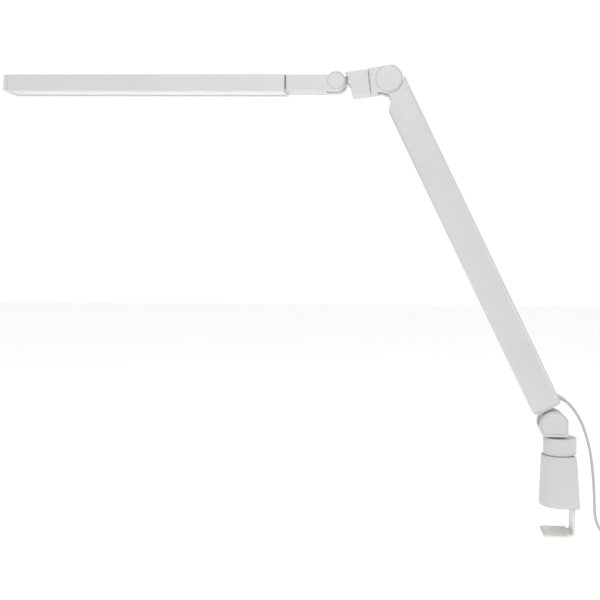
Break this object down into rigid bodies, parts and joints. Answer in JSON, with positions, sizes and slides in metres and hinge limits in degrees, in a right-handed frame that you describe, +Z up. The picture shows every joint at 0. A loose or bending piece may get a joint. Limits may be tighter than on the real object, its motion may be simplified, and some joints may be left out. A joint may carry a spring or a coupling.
{
  "type": "swivel arm desk lamp",
  "caption": "Clamp-on desk lamp with a slim light bar on a single swing arm; it swivels at the base, tilts at the arm, elbow and head, and the head rolls on its link.",
  "frame": {"origin": "on the swivel axis, at the face of the base pad that rests on the desk top", "axes": "+Z up, -X from the clamp toward the lamp head, Y along the arm's pivot axles"},
  "size_m": [0.8263, 0.057, 0.5871],
  "materials": {
    "bare_steel": "pale zinc-plated steel",
    "board": "solder mask",
    "board_white": "white solder mask",
    "brass_nut": "plain",
    "cap_white": "fine matt white",
    "cast_zinc": "as cast",
    "cord_sheath": "matt grey-white",
    "diffuser_opal": "opal",
    "led": "phosphor",
    "painted_heavy": "satin white powder coat on steel",
    "painted_white": "satin white powder coat",
    "plug_body": "matt",
    "polymer": "plain",
    "rubber_grey": "matt",
    "rubber_light": "matt",
    "steel_hidden": "plain steel"
  },
  "bodies": {
    "base": {"base_housing": "painted_white", "base_frame": "cast_zinc", "frame_screws": "steel_hidden", "desk_pad": "rubber_grey"},
    "clamp_collar": {"collar_ring": "painted_heavy", "clamp_screw": "steel_hidden", "swivel_bush": "polymer"},
    "clamp_jaw": {"clamp_bracket": "bare_steel", "clamp_nut": "brass_nut", "jaw_pad": "rubber_light"},
    "turret": {"knuckle": "painted_white", "swivel_spigot": "steel_hidden", "spigot_clip": "steel_hidden", "thrust_washer": "polymer", "knuckle_axle": "steel_hidden", "knuckle_springs": "steel_hidden", "knuckle_washers": "polymer", "knuckle_caps": "cap_white", "power_cord": "cord_sheath", "cord_coil": "cord_sheath", "coil_tie": "plug_body", "dc_plug": "plug_body"},
    "arm": {"arm_profile": "painted_white", "arm_lower_end": "painted_white", "arm_upper_end": "painted_white", "arm_end_screws": "steel_hidden", "arm_cable": "cord_sheath", "cable_gland": "cord_sheath"},
    "elbow": {"elbow_block": "painted_white", "elbow_axle": "steel_hidden", "elbow_springs": "steel_hidden", "elbow_washers": "polymer", "elbow_caps": "cap_white", "roll_spindle": "steel_hidden", "roll_nut": "steel_hidden", "roll_springs": "steel_hidden"},
    "roll_link": {"swivel_block": "painted_white", "swivel_lug": "cast_zinc", "lug_screws": "steel_hidden"},
    "head": {"tail_housing": "painted_white", "tail_cover": "cap_white", "driver_board": "board", "head_axle": "steel_hidden", "head_springs": "steel_hidden", "head_washers": "polymer", "head_caps": "cap_white", "head_profile": "painted_white", "head_end_cap": "painted_white", "cap_screws": "steel_hidden", "diffuser": "diffuser_opal", "led_board": "board_white", "led_chips": "led", "reflector": "board_white"},
    "switch": {"power_button": "cap_white"}
  },
  "joints": [
    {"name": "clamp_turn", "type": "hinge", "parent": "base", "child": "clamp_collar", "pos_m": [0, 0, 0.07], "axis": [0, 0, 1], "range_deg": [-2520, 0]},
    {"name": "jaw_slide", "type": "slide", "parent": "base", "child": "clamp_jaw", "axis": [0, 0, 1], "range_m": [0, 0.0281]},
    {"name": "base_swivel", "type": "hinge", "parent": "base", "child": "turret", "pos_m": [0, 0, 0.085], "axis": [0, 0, 1], "range_deg": [-170, 170]},
    {"name": "arm_tilt", "type": "hinge", "parent": "turret", "child": "arm", "pos_m": [-0.0084, 0, 0.1], "axis": [0, 1, 0], "range_deg": [-35, 45], "deforming": ["power_cord"]},
    {"name": "elbow_tilt", "type": "hinge", "parent": "arm", "child": "elbow", "pos_m": [-0.21235, 0, 0.53341], "axis": [0, 1, 0], "range_deg": [-30, 70]},
    {"name": "head_roll", "type": "hinge", "parent": "elbow", "child": "roll_link", "pos_m": [-0.24228, 0, 0.53105], "axis": [-0.9925, 0, -0.1219], "range_deg": [-90, 90]},
    {"name": "head_tilt", "type": "hinge", "parent": "roll_link", "child": "head", "pos_m": [-0.27875, 0, 0.53211], "axis": [0, 1, 0], "range_deg": [-80, 80]},
    {"name": "button_press", "type": "slide", "parent": "head", "child": "switch", "axis": [0.0209, 0, 0.9998], "range_m": [-0.0008, 0], "stiffness_N_per_m": 400, "springref_m": 0.0005}
  ],
  "couplings": [
    {"joint": "jaw_slide", "follows": "clamp_turn", "m_per_rad": -0.00063662}
  ]
}
